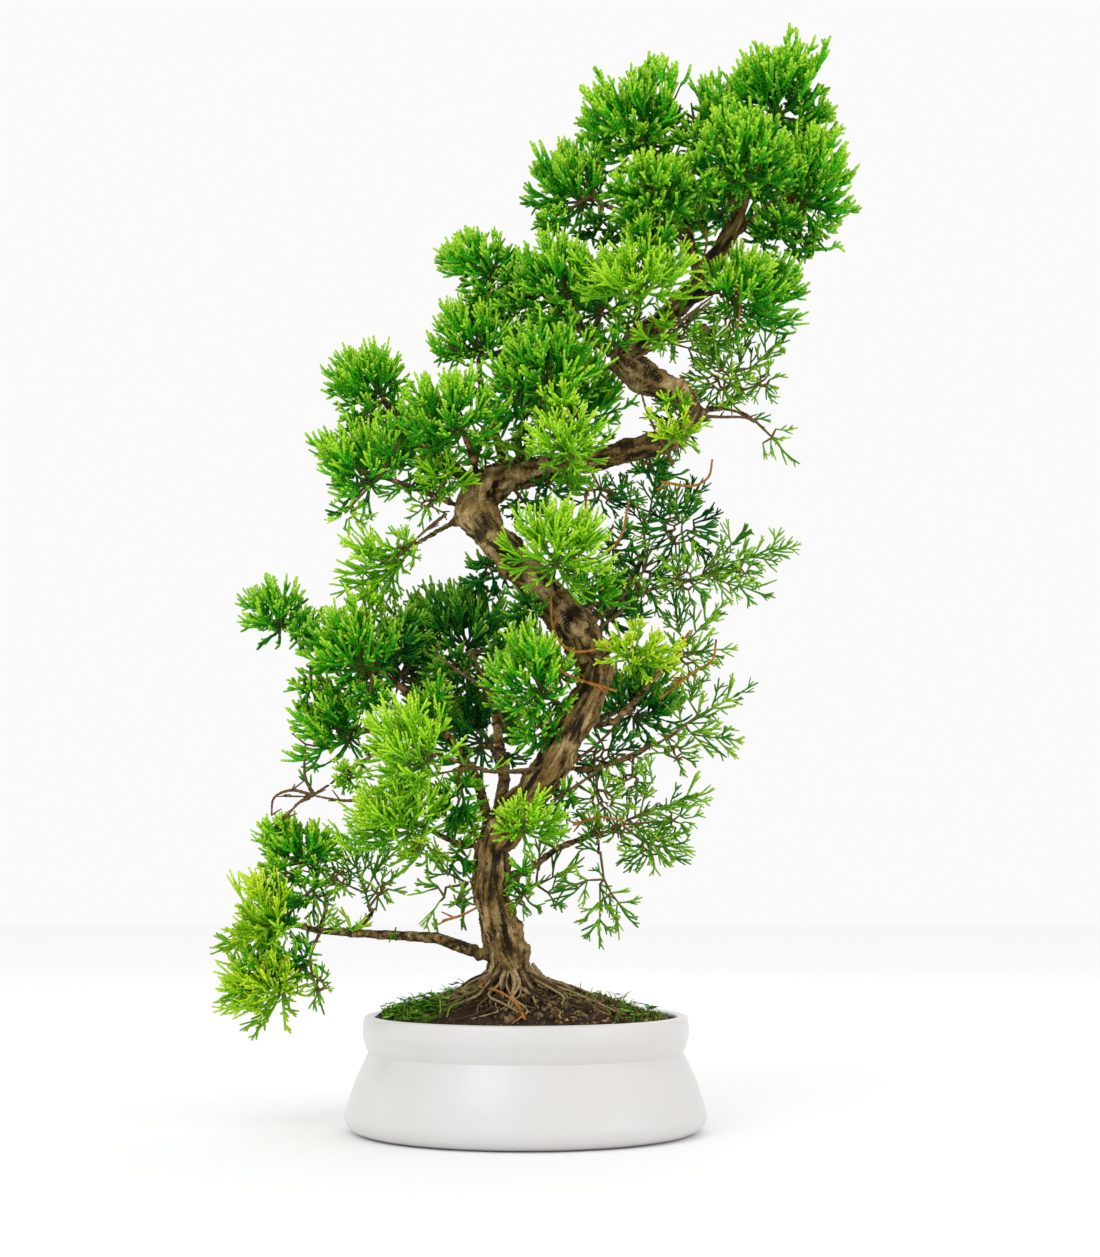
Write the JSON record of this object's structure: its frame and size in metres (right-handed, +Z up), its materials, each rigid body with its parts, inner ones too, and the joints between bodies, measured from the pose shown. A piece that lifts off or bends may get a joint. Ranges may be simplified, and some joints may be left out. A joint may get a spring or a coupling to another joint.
{
  "type": "potted bonsai tree",
  "caption": "Slanting chinese juniper bonsai with a zigzag trunk and tufted foliage, in a low round white glazed pot.",
  "frame": {"origin": "centre of the pot's foot, on the surface it stands on", "axes": "+Z up along the pot's axis, +X the way the crown leans, -Y the front"},
  "size_m": [0.2644, 0.1444, 0.4587],
  "materials": {
    "glaze": "satin white glaze",
    "soil": "damp potting soil",
    "bark": "rough bark",
    "foliage": "matte green scale leaves",
    "screen": "matte black"
  },
  "bodies": {
    "root": {"drain_screen_left": "screen", "drain_screen_right": "screen", "foliage_apex_back": "foliage", "foliage_apex_front": "foliage", "foliage_apex_left": "foliage", "foliage_apex_right": "foliage", "foliage_apex_top": "foliage", "foliage_back_low": "foliage", "foliage_behind_bend": "foliage", "foliage_centre_back": "foliage", "foliage_centre_bright": "foliage", "foliage_centre_front": "foliage", "foliage_centre_high": "foliage", "foliage_centre_low": "foliage", "foliage_crown_back": "foliage", "foliage_crown_far_left": "foliage", "foliage_crown_front": "foliage", "foliage_crown_left": "foliage", "foliage_front_low": "foliage", "foliage_front_pale": "foliage", "foliage_front_yellow": "foliage", "foliage_left_back": "foliage", "foliage_left_bright": "foliage", "foliage_left_dark": "foliage", "foliage_left_edge": "foliage", "foliage_left_front": "foliage", "foliage_left_hang": "foliage", "foliage_left_high": "foliage", "foliage_left_knob": "foliage", "foliage_left_loose": "foliage", "foliage_left_low_bright": "foliage", "foliage_left_point": "foliage", "foliage_left_rear": "foliage", "foliage_left_shoulder": "foliage", "foliage_low_left": "foliage", "foliage_low_left_in": "foliage", "foliage_low_left_tip": "foliage", "foliage_low_left_top": "foliage", "foliage_right_back": "foliage", "foliage_right_dark": "foliage", "foliage_right_droop": "foliage", "foliage_right_high": "foliage", "foliage_right_knee": "foliage", "foliage_right_long": "foliage", "foliage_right_low": "foliage", "foliage_right_mid": "foliage", "foliage_right_rear": "foliage", "foliage_right_tip": "foliage", "foliage_right_upper": "foliage", "foliage_trunk_left": "foliage", "foliage_trunk_right": "foliage", "foliage_upper_back": "foliage", "foliage_upper_front": "foliage", "foliage_upper_left": "foliage", "foliage_upper_tip_left": "foliage", "pot": "glaze", "soil": "soil", "wood": "bark"}
  },
  "joints": []
}
